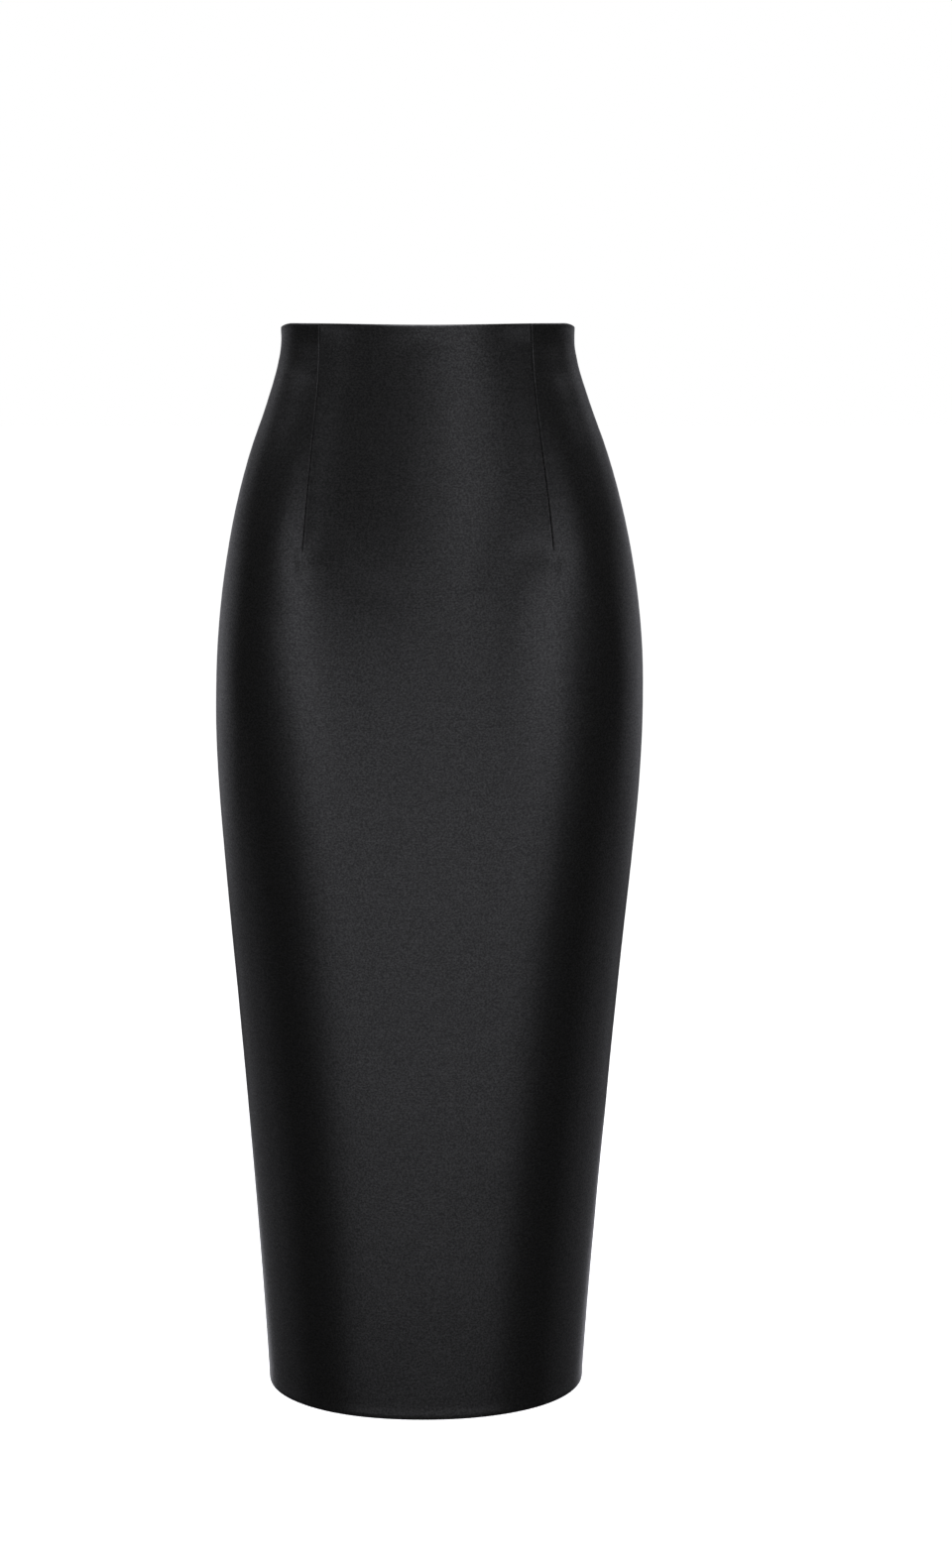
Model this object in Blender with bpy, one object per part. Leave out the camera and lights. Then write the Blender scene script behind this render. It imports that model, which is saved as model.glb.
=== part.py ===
"""High-waisted pencil skirt in satin, filled out as when it is worn.

Frame: the waist's front edge lies in the plane z = 0, with the origin at the middle of the waist.
+Z is up, the front faces -Y, and +X is the wearer's left. All lengths are in metres.

Every level of the skirt is a closed section: a half oval in front of the side seams (y < 0) and
another behind them (y > 0). A place on the cloth is given by its depth below the waist and by its
arc, the distance along the section from the centre front or the centre back line, positive towards +X.
"""

import math
from functools import lru_cache

import bmesh
import bpy
import numpy as np
from mathutils import Matrix, Vector

# ---------------------------------------------------------------- driving dimensions

LENGTH = 0.8537             # waist to hem, down the side seams
HEM_FALL = 0.0141           # how much lower the hem hangs per metre towards the front
HEM_BLEND = 0.150           # stretch above the hem over which the levels take up that slope
WAIST_DIP_FRONT = 0.0009    # how far the waist edge drops at the centre front
WAIST_DIP_FRONT_END = 0.60  # part of the front half, from centre to seam, that it takes
WAIST_DIP_SIDE = 0.0030     # how far the edge drops at the side seams
WAIST_DIP_BACK = 0.0080     # and at the centre back
WAIST_DIP_START = 0.78      # part of the front half after which that drop starts
WAIST_BLEND = 0.120         # stretch below the waist over which the dip fades out

WALL = 0.0016               # thickness of the cloth wall
TURNING = 0.0006            # extra thickness where the cloth is turned in
WAIST_TURNING_DEPTH = 0.010
HEM_TURNING_DEPTH = 0.040
TURNING_STEP = 0.0015       # height over which a turned edge ends
EDGE_ROUND = 0.0009         # height of the rounding along the waist fold and the hem fold

SEAM_GAP = 0.0003           # between neighbouring panels
SEAM_ROLL = 0.0004          # how far a panel's edge rolls in at its seam
SEAM_ROLL_WIDTH = 0.0025

DART_SINK = 0.0010          # how far the stitched line lies below the cloth beside it
DART_HALF_WIDTH = 0.0020    # from the stitched line to the level cloth
DART_FADE = 0.030           # stretch above the tip over which the line runs out
DART_OPEN_WIDTH = 0.012     # column spacing that the dart's columns take up below the tip
DART_OPEN_RUN = 0.060

SLIT_LENGTH = 0.220         # walking slit at the centre back
SLIT_SPREAD = 0.010         # how far its edges stand apart at the hem
SLIT_CURVE = 1.4

ZIP_LENGTH = 0.215
ZIP_TOP_DEPTH = 0.004
TAPE_WIDTH = 0.012
TAPE_THICKNESS = 0.0010
TAPE_EDGE = 0.0017          # from the centre back to the tape's inner edge

SLIDER_DEPTH = 0.018        # from the waist edge down to the pull's pivot
SLIDER_WIDTH = 0.0074
SLIDER_NOSE_WIDTH = 0.0046
SLIDER_HEIGHT = 0.0100
SLIDER_THICKNESS = 0.0028
SLIDER_BACKSET = 0.0006     # clearance between tape and slider
SLIDER_BEVEL = 0.0005
NECK_SPREAD = 0.00085       # how far each cloth edge steps aside for the crown's legs
NECK_REACH = 0.012
CROWN_RADIUS = 0.0020
CROWN_WIRE = 0.0005         # radius of the wire
PIVOT_LIFT = 0.0009         # from the cloth out to the pull's pivot

PULL_LENGTH = 0.0200
PULL_WIDTH = 0.0062
PULL_NECK_WIDTH = 0.0042
PULL_THICKNESS = 0.0008
PULL_CHAMFER = 0.00015
PULL_EYE_NEAR = 0.00115     # the eye's near and far edge, from the pivot
PULL_EYE_FAR = 0.00290
PULL_EYE_WIDTH = 0.0018
PULL_TOP = 0.0006           # how far the bar reaches past the pivot
PULL_WIDEST = 0.72          # where the tab is widest, as part of its length
PULL_ROUNDING = 0.55        # 1 gives the tab an elliptical outline, less gives it squarer corners
PULL_EYE_ROUNDING = 0.5     # the same for its eye

# One row for each level of the skirt.
SECTION_COLUMNS = ("depth", "half_width", "front", "back", "front_power", "back_power", "sway")
SECTIONS = np.array((
    (0.000, 0.1148, 0.0827, 0.0850, 1.98, 2.15, 0.0009),
    (0.014, 0.1149, 0.0853, 0.0856, 2.02, 2.15, 0.0009),
    (0.030, 0.1177, 0.0878, 0.0874, 2.08, 2.15, 0.0010),
    (0.060, 0.1265, 0.0920, 0.0925, 2.16, 2.16, 0.0012),
    (0.100, 0.1402, 0.0972, 0.1017, 2.22, 2.18, 0.0014),
    (0.150, 0.1536, 0.1033, 0.1150, 2.30, 2.20, 0.0017),
    (0.200, 0.1627, 0.1072, 0.1255, 2.36, 2.22, 0.0020),
    (0.250, 0.1680, 0.1093, 0.1295, 2.40, 2.24, 0.0020),
    (0.300, 0.1695, 0.1100, 0.1283, 2.40, 2.24, 0.0016),
    (0.360, 0.1676, 0.1100, 0.1236, 2.36, 2.22, 0.0012),
    (0.420, 0.1629, 0.1094, 0.1183, 2.30, 2.20, 0.0005),
    (0.500, 0.1555, 0.1084, 0.1124, 2.22, 2.17, -0.0003),
    (0.600, 0.1467, 0.1078, 0.1068, 2.16, 2.13, -0.0009),
    (0.700, 0.1385, 0.1080, 0.1026, 2.11, 2.10, -0.0016),
    (0.780, 0.1325, 0.1090, 0.1000, 2.11, 2.08, -0.0021),
    (0.856, 0.1276, 0.1100, 0.0985, 2.12, 2.07, -0.0025),
))

# Where each dart's stitched line runs: its x at each depth. The last row is the tip.
DART_COLUMNS = ("depth", "front_right", "front_left", "back")
DARTS = np.array((
    (0.000, -0.0822, 0.0800, 0.0660),
    (0.040, -0.0832, 0.0820, 0.0668),
    (0.092, -0.0880, 0.0877, 0.0690),
    (0.130, -0.0918, 0.0925, 0.0715),
    (0.174, -0.0954, 0.0971, 0.0745),
))
BACK_DART_LENGTH = 0.145

# Levels at which the cloth has a row of points: down to each depth in so many equal steps.
LEVEL_BANDS = (
    (WAIST_TURNING_DEPTH, 2),
    (WAIST_TURNING_DEPTH + TURNING_STEP, 1),
    (SLIDER_DEPTH, 1),
    (0.030, 2),
    (0.174, 8),
    (LENGTH - SLIT_LENGTH, 15),
    (LENGTH - HEM_TURNING_DEPTH - TURNING_STEP, 6),
    (LENGTH - HEM_TURNING_DEPTH, 1),
    (LENGTH - EDGE_ROUND, 2),
)

# Steps between the anchor lines of each panel, from edge to edge.
FRONT_STEPS = (1, 6, 1, 1, 12, 1, 1, 6, 1)
BACK_STEPS = (1, 6, 1, 1, 7, 1)
TAPE_STEPS = (3,)

FRONT = -1
BACK = 1
OUTLINE_STEPS = 72
WIRE_SIDES = 10
CROWN_STEPS = 14
PULL_POINTS = 32

COLOURS = {                 # base colour, metallic, roughness
    "satin": ((0.013, 0.013, 0.015), 0.0, 0.38),
    "zip_tape": ((0.010, 0.010, 0.011), 0.0, 0.80),
    "zip_metal": ((0.016, 0.016, 0.018), 0.6, 0.30),
}


# ---------------------------------------------------------------- small helpers

def smoothstep(t):
    """0 up to t = 0, 1 from t = 1, and a smooth rise between them."""
    t = min(max(t, 0.0), 1.0)
    return t * t * (3.0 - 2.0 * t)


def smooth_lookup(table, columns, name, depth):
    """One column's value at a depth, on a smooth curve through the table's rows."""
    knots = table[:, 0]
    values = table[:, columns.index(name)]
    depth = min(max(depth, knots[0]), knots[-1])
    slopes = np.gradient(values, knots)
    row = int(np.clip(np.searchsorted(knots, depth) - 1, 0, len(knots) - 2))
    span = knots[row + 1] - knots[row]
    t = (depth - knots[row]) / span
    rise = t * t * (3.0 - 2.0 * t)
    start = t * (1.0 - t) ** 2 * slopes[row] * span
    end = t * t * (t - 1.0) * slopes[row + 1] * span
    return float(values[row] * (1.0 - rise) + values[row + 1] * rise + start + end)


@lru_cache(maxsize=None)
def section_value(name, depth):
    return smooth_lookup(SECTIONS, SECTION_COLUMNS, name, depth)


def levels_between(first, last):
    """The depths of the cloth's rows from first to last, both included."""
    depths = [EDGE_ROUND]
    for end, steps in LEVEL_BANDS:
        start = depths[-1]
        depths += [start + (end - start) * step / steps for step in range(1, steps + 1)]
    inside = [depth for depth in depths if first < depth < last]
    return [first] + inside + [last]


# ---------------------------------------------------------------- the skirt's form

@lru_cache(maxsize=None)
def quarter_outline(facing, depth):
    """The section from its centre line to its side seam: arcs, xs, ys and outward normals."""
    half_width = section_value("half_width", depth)
    reach = section_value("front" if facing == FRONT else "back", depth)
    power = section_value("front_power" if facing == FRONT else "back_power", depth)
    angles = np.linspace(0.0, math.pi / 2.0, OUTLINE_STEPS + 1)
    sines = np.sin(angles)
    cosines = np.clip(np.cos(angles), 0.0, 1.0)
    radii = ((sines / half_width) ** power + (cosines / reach) ** power) ** (-1.0 / power)
    xs = radii * sines
    ys = radii * cosines
    arcs = np.concatenate(([0.0], np.cumsum(np.hypot(np.diff(xs), np.diff(ys)))))
    normal_xs = xs ** (power - 1.0) / half_width ** power
    normal_ys = ys ** (power - 1.0) / reach ** power
    lengths = np.hypot(normal_xs, normal_ys)
    return arcs, xs, ys, normal_xs / lengths, normal_ys / lengths


def half_girth(facing, depth):
    """Arc from the centre line to the side seam."""
    return float(quarter_outline(facing, depth)[0][-1])


def waist_dip(facing, share):
    """Drop of the waist edge at a share of the way from the centre line to the side seam."""
    if facing == FRONT:
        centre = WAIST_DIP_FRONT * (1.0 - smoothstep(share / WAIST_DIP_FRONT_END))
        return centre + WAIST_DIP_SIDE * smoothstep((share - WAIST_DIP_START) / (1.0 - WAIST_DIP_START))
    return WAIST_DIP_SIDE + (WAIST_DIP_BACK - WAIST_DIP_SIDE) * smoothstep(1.0 - share)


def cloth_point(facing, depth, arc, inset):
    """The point at a depth and arc, inset from the cloth's outer face towards the inside."""
    arcs, xs, ys, normal_xs, normal_ys = quarter_outline(facing, depth)
    side = math.copysign(1.0, arc)
    along = min(abs(arc), arcs[-1])
    x = np.interp(along, arcs, xs) - inset * np.interp(along, arcs, normal_xs)
    y = np.interp(along, arcs, ys) - inset * np.interp(along, arcs, normal_ys)
    y *= facing
    dip = waist_dip(facing, along / arcs[-1]) * (1.0 - smoothstep(depth / WAIST_BLEND))
    fall = HEM_FALL * y * smoothstep((depth - LENGTH + HEM_BLEND) / HEM_BLEND)
    return Vector((side * x + section_value("sway", depth), y, -depth - dip + fall))


def wall_at(depth):
    """The wall's thickness, with the turned-in waist edge and the turned-up hem."""
    waist = 1.0 - smoothstep((depth - WAIST_TURNING_DEPTH) / TURNING_STEP)
    hem = smoothstep((depth - LENGTH + HEM_TURNING_DEPTH + TURNING_STEP) / TURNING_STEP)
    return WALL + TURNING * (waist + hem)


def centre_back_edge(depth):
    """Half the gap between the two back panels: seam, neck of the slider, and slit."""
    off_slider = min(abs(depth - SLIDER_DEPTH) / NECK_REACH, 1.0)
    below_slit_top = max(depth - LENGTH + SLIT_LENGTH, 0.0) / SLIT_LENGTH
    return (SEAM_GAP / 2.0
            + NECK_SPREAD * (1.0 - off_slider ** 2) ** 2
            + SLIT_SPREAD / 2.0 * below_slit_top ** SLIT_CURVE)


# ---------------------------------------------------------------- columns of each panel

def dart_arc(facing, name, depth, tip):
    """Arc of a dart's line at a depth; below the tip it keeps the tip's share of the girth."""
    level = min(depth, tip)
    x = smooth_lookup(DARTS, DART_COLUMNS, name, level) - section_value("sway", level)
    arcs, xs = quarter_outline(facing, level)[:2]
    share = float(np.interp(abs(x), xs, arcs)) / arcs[-1]
    return math.copysign(share * half_girth(facing, depth), x)


def dart_anchors(facing, name, depth, tip):
    """The three columns that carry a dart, as arc, sink of the outer and of the inner face."""
    line = dart_arc(facing, name, depth, tip)
    opening = smoothstep((depth - tip) / DART_OPEN_RUN)
    half = DART_HALF_WIDTH + (DART_OPEN_WIDTH - DART_HALF_WIDTH) * opening
    sink = DART_SINK * smoothstep((tip - depth) / DART_FADE)
    return [(line - half, 0.0, 0.0), (line, sink, sink), (line + half, 0.0, 0.0)]


def edge_anchors(edge, inward):
    """The columns of a seam edge, rolled on its outer face, and of the level cloth beside it."""
    return [(edge, SEAM_ROLL, 0.0), (edge + inward * SEAM_ROLL_WIDTH, 0.0, 0.0)]


def columns_between(anchors, steps):
    """Every column of a panel: the anchors, with even steps between them."""
    columns = [anchors[0]]
    for left, right, count in zip(anchors, anchors[1:], steps):
        for step in range(1, count + 1):
            columns.append(tuple(a + (b - a) * step / count for a, b in zip(left, right)))
    return columns


def front_columns(depth):
    seam = half_girth(FRONT, depth) - SEAM_GAP / 2.0
    tip = DARTS[-1, 0]
    anchors = edge_anchors(-seam, 1)
    anchors += dart_anchors(FRONT, "front_right", depth, tip)
    anchors += dart_anchors(FRONT, "front_left", depth, tip)
    anchors += reversed(edge_anchors(seam, -1))
    return columns_between(anchors, FRONT_STEPS)


def back_columns(side):
    """Columns of one back panel, from the centre back edge to the side seam."""
    def columns(depth):
        seam = half_girth(BACK, depth) - SEAM_GAP / 2.0
        anchors = edge_anchors(centre_back_edge(depth), 1)
        anchors += dart_anchors(BACK, "back", depth, BACK_DART_LENGTH)
        anchors += reversed(edge_anchors(seam, -1))
        return [(side * arc, *sinks) for arc, *sinks in columns_between(anchors, BACK_STEPS)]
    return columns


def tape_columns(side):
    """Columns of one zip tape, from the teeth to the outer edge."""
    def columns(_depth):
        anchors = [(side * TAPE_EDGE, 0.0, 0.0), (side * (TAPE_EDGE + TAPE_WIDTH), 0.0, 0.0)]
        return columns_between(anchors, TAPE_STEPS)
    return columns


# ---------------------------------------------------------------- meshes

def new_object(name, bm, material):
    """Turns a bmesh into a smooth-shaded object of the given material."""
    bmesh.ops.recalc_face_normals(bm, faces=bm.faces)
    mesh = bpy.data.meshes.new(name)
    bm.to_mesh(mesh)
    bm.free()
    mesh.materials.append(material)
    mesh.shade_smooth()
    mesh.set_sharp_from_angle(angle=math.radians(40.0))
    obj = bpy.data.objects.new(name, mesh)
    bpy.context.collection.objects.link(obj)
    return obj


def add_rows(bm, rows):
    return [[bm.verts.new(point) for point in row] for row in rows]


def bridge_rows(bm, upper, lower):
    """Quads between two rows of vertices."""
    for i in range(len(upper) - 1):
        bm.faces.new((upper[i], upper[i + 1], lower[i + 1], lower[i]))


def cloth_wall(name, facing, depths, columns_at, inset_at, thickness_at, material):
    """A closed wall of cloth: outer face, inner face, two rounded folds and two cut edges.

    inset_at and thickness_at give, at a depth, where the wall's outer face lies below the skirt's
    outer form and how thick the wall is.
    """
    def row(depth, into_wall):
        offset = inset_at(depth) + into_wall * thickness_at(depth)
        points = []
        for arc, outer_sink, inner_sink in columns_at(depth):
            sink = outer_sink + into_wall * (inner_sink - outer_sink)
            points.append(cloth_point(facing, depth, arc, offset + sink))
        return points

    top_depth = depths[0] - EDGE_ROUND
    end_depth = depths[-1] + EDGE_ROUND
    bm = bmesh.new()
    outer = add_rows(bm, [row(depth, 0.0) for depth in depths])
    inner = add_rows(bm, [row(depth, 1.0) for depth in depths])
    top, end = add_rows(bm, [row(top_depth, 0.5), row(end_depth, 0.5)])
    loop = [top] + outer + [end] + inner[::-1]
    for upper, lower in zip(loop, loop[1:] + loop[:1]):
        bridge_rows(bm, upper, lower)
    for column in (0, -1):
        for level in range(len(depths) - 1):
            bm.faces.new((outer[level][column], outer[level + 1][column],
                          inner[level + 1][column], inner[level][column]))
        bm.faces.new((top[column], outer[0][column], inner[0][column]))
        bm.faces.new((end[column], outer[-1][column], inner[-1][column]))
    return new_object(name, bm, material)


def closed_band(name, loops, material):
    """A solid ring: each loop of points is joined to the next and the last to the first."""
    bm = bmesh.new()
    rows = [row + row[:1] for row in add_rows(bm, loops)]
    for upper, lower in zip(rows, rows[1:] + rows[:1]):
        bridge_rows(bm, upper, lower)
    return new_object(name, bm, material)


def tube(name, path, radius, material):
    """A round wire along a flat path in the YZ plane, with closed ends."""
    bm = bmesh.new()
    rings = []
    for i, centre in enumerate(path):
        tangent = (path[min(i + 1, len(path) - 1)] - path[max(i - 1, 0)]).normalized()
        across = Vector((1.0, 0.0, 0.0))
        outward = tangent.cross(across)
        turns = [2.0 * math.pi * k / WIRE_SIDES for k in range(WIRE_SIDES)]
        rings.append([centre + radius * (math.cos(a) * across + math.sin(a) * outward)
                      for a in turns])
    rows = add_rows(bm, rings)
    for upper, lower in zip(rows, rows[1:]):
        bridge_rows(bm, upper + upper[:1], lower + lower[:1])
    bm.faces.new(rows[0])
    bm.faces.new(rows[-1])
    return new_object(name, bm, material)


# ---------------------------------------------------------------- pieces

def make_panels(satin):
    depths = levels_between(EDGE_ROUND, LENGTH - EDGE_ROUND)

    def flush(_depth):
        return 0.0

    cloth_wall("front", FRONT, depths, front_columns, flush, wall_at, satin)
    for name, side in (("back_left", 1), ("back_right", -1)):
        cloth_wall(name, BACK, depths, back_columns(side), flush, wall_at, satin)


def make_tapes(tape):
    depths = levels_between(ZIP_TOP_DEPTH + EDGE_ROUND, ZIP_LENGTH)

    def behind_cloth(depth):
        return wall_at(depth) + SEAM_GAP

    def tape_thickness(_depth):
        return TAPE_THICKNESS

    for name, side in (("zip_tape_left", 1), ("zip_tape_right", -1)):
        cloth_wall(name, BACK, depths, tape_columns(side), behind_cloth, tape_thickness, tape)


def pull_frame():
    """Axes at the pull's pivot: x across, y away from the cloth, z up along it."""
    upper = cloth_point(BACK, SLIDER_DEPTH, 0.0, 0.0)
    lower = cloth_point(BACK, SLIDER_DEPTH + PULL_LENGTH, 0.0, 0.0)
    up = upper - lower
    up.x = 0.0
    up.normalize()
    across = Vector((1.0, 0.0, 0.0))
    away = up.cross(across)
    pivot = upper + away * PIVOT_LIFT
    turn = Matrix((across, away, up)).transposed().to_4x4()
    return Matrix.Translation(pivot) @ turn


def slider_body(metal):
    """The slider's plates behind the tapes: a bevelled wedge, narrower at its lower end."""
    front = -(PIVOT_LIFT + WALL + SEAM_GAP + TAPE_THICKNESS + SLIDER_BACKSET)
    half_height = SLIDER_HEIGHT / 2.0
    bm = bmesh.new()
    rows = []
    for height, width in ((half_height, SLIDER_WIDTH), (-half_height, SLIDER_NOSE_WIDTH)):
        half = width / 2.0
        rows.append([Vector((x, y, height)) for x, y in (
            (-half, front), (half, front), (half, front - SLIDER_THICKNESS),
            (-half, front - SLIDER_THICKNESS))])
    upper, lower = add_rows(bm, rows)
    bridge_rows(bm, upper + upper[:1], lower + lower[:1])
    bm.faces.new(upper)
    bm.faces.new(lower)
    bmesh.ops.bevel(bm, geom=bm.edges[:], offset=SLIDER_BEVEL, segments=2, affect="EDGES")
    return new_object("zip_slider", bm, metal)


def crown_path():
    """The crown's wire: out of the slider, round the pivot and back into it."""
    depth_inside = -(PIVOT_LIFT + WALL + SEAM_GAP + TAPE_THICKNESS + SLIDER_BACKSET
                     + SLIDER_THICKNESS / 2.0)
    arc = [Vector((0.0, CROWN_RADIUS * math.sin(a), CROWN_RADIUS * math.cos(a)))
           for a in (math.pi * k / CROWN_STEPS for k in range(CROWN_STEPS + 1))]
    start = Vector((0.0, depth_inside, CROWN_RADIUS))
    end = Vector((0.0, depth_inside, -CROWN_RADIUS))
    return [start] + arc + [end]


def make_slider(frame, metal):
    body = slider_body(metal)
    crown = tube("zip_crown", crown_path(), CROWN_WIRE, metal)
    crown.hide_render = True
    crown.display_type = "WIRE"
    crown.matrix_world = frame
    body.matrix_world = frame
    union = body.modifiers.new("crown", "BOOLEAN")
    union.operation = "UNION"
    union.object = crown
    return body


def pull_outline():
    """The tab's outer edge, seen from behind the skirt: narrow at the bar, widest near its end."""
    length = PULL_LENGTH + PULL_TOP
    points = []
    for k in range(PULL_POINTS):
        angle = 2.0 * math.pi * k / PULL_POINTS
        share = (1.0 - math.cos(angle)) / 2.0
        widening = smoothstep(share / PULL_WIDEST)
        half = (PULL_NECK_WIDTH + (PULL_WIDTH - PULL_NECK_WIDTH) * widening) / 2.0
        rounding = abs(math.sin(angle)) ** PULL_ROUNDING
        points.append((math.copysign(half * rounding, math.sin(angle)), PULL_TOP - length * share))
    return points


def pull_eye():
    """The eye that the crown passes through, with the same number of points."""
    middle = -(PULL_EYE_NEAR + PULL_EYE_FAR) / 2.0
    half_height = (PULL_EYE_FAR - PULL_EYE_NEAR) / 2.0
    half_width = PULL_EYE_WIDTH / 2.0
    points = []
    for k in range(PULL_POINTS):
        angle = 2.0 * math.pi * k / PULL_POINTS
        x = math.copysign(half_width * abs(math.sin(angle)) ** PULL_EYE_ROUNDING, math.sin(angle))
        z = math.copysign(half_height * abs(math.cos(angle)) ** PULL_EYE_ROUNDING, math.cos(angle))
        points.append((x, middle + z))
    return points


def make_pull(frame, metal):
    """The pull tab, hung in its eye on the crown, with its origin on the pivot."""
    half = PULL_THICKNESS / 2.0
    outline = pull_outline()
    eye = pull_eye()
    centre = sum(z for _x, z in outline) / len(outline)
    shrink_x = 1.0 - 2.0 * PULL_CHAMFER / PULL_NECK_WIDTH
    shrink_z = 1.0 - 2.0 * PULL_CHAMFER / PULL_LENGTH
    inset = [(x * shrink_x, centre + (z - centre) * shrink_z) for x, z in outline]

    def loop(points, y):
        return [Vector((x, y, z)) for x, z in points]

    pull = closed_band("zip_pull", [
        loop(eye, half), loop(inset, half), loop(outline, half - PULL_CHAMFER),
        loop(outline, PULL_CHAMFER - half), loop(inset, -half), loop(eye, -half)], metal)
    pull.matrix_world = frame
    return pull


# ---------------------------------------------------------------- the whole skirt

def make_material(name):
    colour, metallic, roughness = COLOURS[name]
    material = bpy.data.materials.new(name)
    material.use_nodes = True
    shader = material.node_tree.nodes["Principled BSDF"]
    shader.inputs["Base Color"].default_value = (*colour, 1.0)
    shader.inputs["Metallic"].default_value = metallic
    shader.inputs["Roughness"].default_value = roughness
    material.diffuse_color = (*colour, 1.0)
    return material


def main():
    for obj in list(bpy.data.objects):
        bpy.data.objects.remove(obj, do_unlink=True)
    satin, tape, metal = (make_material(name) for name in COLOURS)
    make_panels(satin)
    make_tapes(tape)
    frame = pull_frame()
    make_slider(frame, metal)
    make_pull(frame, metal)


main()
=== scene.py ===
"""Pencil skirt in black satin: the looks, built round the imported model.

Frame: origin at the middle of the waist, +Z up, the front faces -Y, +X is the wearer's left, metres.
A place on the cloth is a depth below the waist and an arc, the distance along the section from the
centre front or centre back line, positive towards +X. An inset is measured inwards from the outer face.
"""

import math

import bpy
import numpy as np
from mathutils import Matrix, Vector


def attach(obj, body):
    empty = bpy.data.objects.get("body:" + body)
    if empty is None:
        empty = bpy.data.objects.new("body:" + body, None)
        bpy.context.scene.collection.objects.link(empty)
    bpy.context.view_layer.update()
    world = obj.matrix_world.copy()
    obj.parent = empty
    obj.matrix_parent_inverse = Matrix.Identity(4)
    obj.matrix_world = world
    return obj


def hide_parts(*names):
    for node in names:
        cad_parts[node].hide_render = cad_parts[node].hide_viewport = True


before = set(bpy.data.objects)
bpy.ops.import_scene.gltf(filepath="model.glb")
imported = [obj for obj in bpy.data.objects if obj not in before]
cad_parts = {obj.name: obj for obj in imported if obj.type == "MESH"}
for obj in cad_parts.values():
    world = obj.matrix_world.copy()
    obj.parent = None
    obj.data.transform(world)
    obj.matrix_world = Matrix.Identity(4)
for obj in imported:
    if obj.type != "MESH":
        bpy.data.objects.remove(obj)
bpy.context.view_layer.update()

BODY = "skirt"
FRONT = -1                  # the side of the seams on which a panel lies, as the sign of its y
BACK = 1

# ---------------------------------------------------------------- the skirt's form, as in the model

LENGTH = 0.8537             # waist to hem, down the side seams
HEM_FALL = 0.0141           # how much lower the hem hangs per metre towards the front
HEM_BLEND = 0.150           # stretch above the hem over which the levels take up that slope
WAIST_DIP_FRONT = 0.0009    # how far the waist edge drops at the centre front
WAIST_DIP_FRONT_END = 0.60  # part of the front half, from centre to seam, that it takes
WAIST_DIP_SIDE = 0.0030     # how far the edge drops at the side seams
WAIST_DIP_BACK = 0.0080     # and at the centre back
WAIST_DIP_START = 0.78      # part of the front half after which that drop starts
WAIST_BLEND = 0.120         # stretch below the waist over which the dip fades out
EDGE_ROUND = 0.0009         # height of the rounding along the waist fold and the hem fold
SLIT_LENGTH = 0.220         # walking slit at the centre back
SLIT_SPREAD = 0.010         # how far its edges stand apart at the hem
SLIT_CURVE = 1.4            # power by which they part on the way down
SLIDER_DEPTH = 0.018        # from the waist edge down to the pull's pivot
NECK_SPREAD = 0.00085       # how far each cloth edge steps aside for the slider's crown
NECK_REACH = 0.012          # stretch above and below the pivot over which it does

# One row for each level of the skirt.
SECTION_COLUMNS = ("depth", "half_width", "front", "back", "front_power", "back_power", "sway")
SECTIONS = np.array((
    (0.000, 0.1148, 0.0827, 0.0850, 1.98, 2.15, 0.0009),
    (0.014, 0.1149, 0.0853, 0.0856, 2.02, 2.15, 0.0009),
    (0.030, 0.1177, 0.0878, 0.0874, 2.08, 2.15, 0.0010),
    (0.060, 0.1265, 0.0920, 0.0925, 2.16, 2.16, 0.0012),
    (0.100, 0.1402, 0.0972, 0.1017, 2.22, 2.18, 0.0014),
    (0.150, 0.1536, 0.1033, 0.1150, 2.30, 2.20, 0.0017),
    (0.200, 0.1627, 0.1072, 0.1255, 2.36, 2.22, 0.0020),
    (0.250, 0.1680, 0.1093, 0.1295, 2.40, 2.24, 0.0020),
    (0.300, 0.1695, 0.1100, 0.1283, 2.40, 2.24, 0.0016),
    (0.360, 0.1676, 0.1100, 0.1236, 2.36, 2.22, 0.0012),
    (0.420, 0.1629, 0.1094, 0.1183, 2.30, 2.20, 0.0005),
    (0.500, 0.1555, 0.1084, 0.1124, 2.22, 2.17, -0.0003),
    (0.600, 0.1467, 0.1078, 0.1068, 2.16, 2.13, -0.0009),
    (0.700, 0.1385, 0.1080, 0.1026, 2.11, 2.10, -0.0016),
    (0.780, 0.1325, 0.1090, 0.1000, 2.11, 2.08, -0.0021),
    (0.856, 0.1276, 0.1100, 0.0985, 2.12, 2.07, -0.0025),
))

# Where each dart's stitched line runs: its x at each depth. The last row is the front darts' tip.
DART_COLUMNS = ("depth", "front_right", "front_left", "back")
DARTS = np.array((
    (0.000, -0.0822, 0.0800, 0.0660),
    (0.040, -0.0832, 0.0820, 0.0668),
    (0.092, -0.0880, 0.0877, 0.0690),
    (0.130, -0.0918, 0.0925, 0.0715),
    (0.174, -0.0954, 0.0971, 0.0745),
))
FRONT_DART_LENGTH = 0.174
BACK_DART_LENGTH = 0.145

# ---------------------------------------------------------------- the cloth's finer form

CLOTH = 0.0008              # one layer of satin
WAIST_TURNING = 0.010       # depth of the turned-in waist edge
HEM_TURNING = 0.040         # height of the turned-up hem
TURNING_STEP = 0.0006       # height over which a turned edge ends
FOLD_STEPS = 6              # steps round the waist fold and the hem fold

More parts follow.
